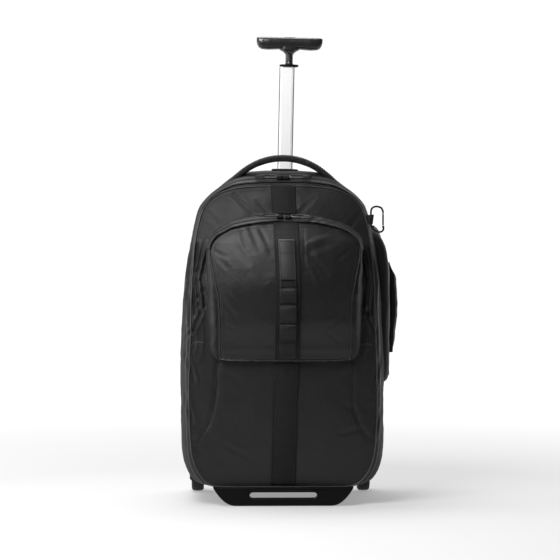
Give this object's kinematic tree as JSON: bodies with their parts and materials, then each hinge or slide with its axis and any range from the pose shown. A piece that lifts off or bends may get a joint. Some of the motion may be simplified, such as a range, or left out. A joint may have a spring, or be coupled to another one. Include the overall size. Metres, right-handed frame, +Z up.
{
  "type": "wheeled backpack",
  "caption": "Upright wheeled backpack with a telescoping T-grip pull handle, bulging front pocket, centre webbing strap, side pocket, foot plate and rear wheels.",
  "frame": {"origin": "under the middle of the foot plate, on the surface that the bag stands on", "axes": "+Z up, the front of the bag faces -Y, +X is on the right seen from the front"},
  "size_m": [0.4368, 0.381, 0.9488],
  "materials": {
    "coated_cloth": "satin coated weave",
    "padded_cloth": "matte mesh",
    "webbing": "ribbed webbing",
    "patch": "matte",
    "zipper": "coil",
    "moulded_plastic": "fine texture",
    "tyre": "matte",
    "steel": "brushed",
    "clip_metal": "dark anodised",
    "pole_metal": "satin anodised",
    "glossy_plastic": "gloss"
  },
  "bodies": {
    "bag": {"main_shell": "coated_cloth", "back_panel": "padded_cloth", "front_pocket": "coated_cloth", "side_pocket": "coated_cloth", "webbing_top": "webbing", "webbing_pocket": "webbing", "webbing_base": "webbing", "daisy_chain": "webbing", "label_patch": "patch", "grab_handle": "webbing", "side_handle": "webbing", "clip_tab": "webbing", "carabiner_frame": "clip_metal", "top_zipper": "zipper", "pocket_zipper": "zipper", "top_zipper_slider_left": "moulded_plastic", "top_zipper_slider_right": "moulded_plastic", "top_zipper_pull_left": "moulded_plastic", "top_zipper_pull_right": "moulded_plastic", "pocket_zipper_slider_left": "moulded_plastic", "pocket_zipper_slider_right": "moulded_plastic", "pocket_zipper_pull_left": "moulded_plastic", "pocket_zipper_pull_right": "moulded_plastic", "foot_plate": "moulded_plastic", "wheel_base": "moulded_plastic", "axle_left": "steel", "axle_right": "steel", "trolley_sleeve": "pole_metal", "top_bezel": "moulded_plastic"},
    "pull": {"pull_pole": "pole_metal", "pole_cap": "moulded_plastic", "pull_grip": "glossy_plastic", "grip_button": "moulded_plastic"},
    "left_wheel": {"wheel_left": "tyre"},
    "right_wheel": {"wheel_right": "tyre"},
    "clip_gate": {"carabiner_gate": "clip_metal"}
  },
  "joints": [
    {"name": "pull_slide", "type": "slide", "parent": "bag", "child": "pull", "axis": [0.0215, 0, 0.9998], "range_m": [-0.205, 0]},
    {"name": "left_wheel_spin", "type": "hinge", "parent": "bag", "child": "left_wheel", "pos_m": [-0.1735, 0.262, 0.04], "axis": [1, 0, 0], "continuous": true},
    {"name": "right_wheel_spin", "type": "hinge", "parent": "bag", "child": "right_wheel", "pos_m": [0.1735, 0.262, 0.04], "axis": [1, 0, 0], "continuous": true},
    {"name": "gate_swing", "type": "hinge", "parent": "bag", "child": "clip_gate", "pos_m": [0.19801, 0.028, 0.57228], "axis": [0, 1, 0], "range_deg": [0, 25], "stiffness_Nm_per_rad": 0.02, "springref_deg": -11.46}
  ]
}
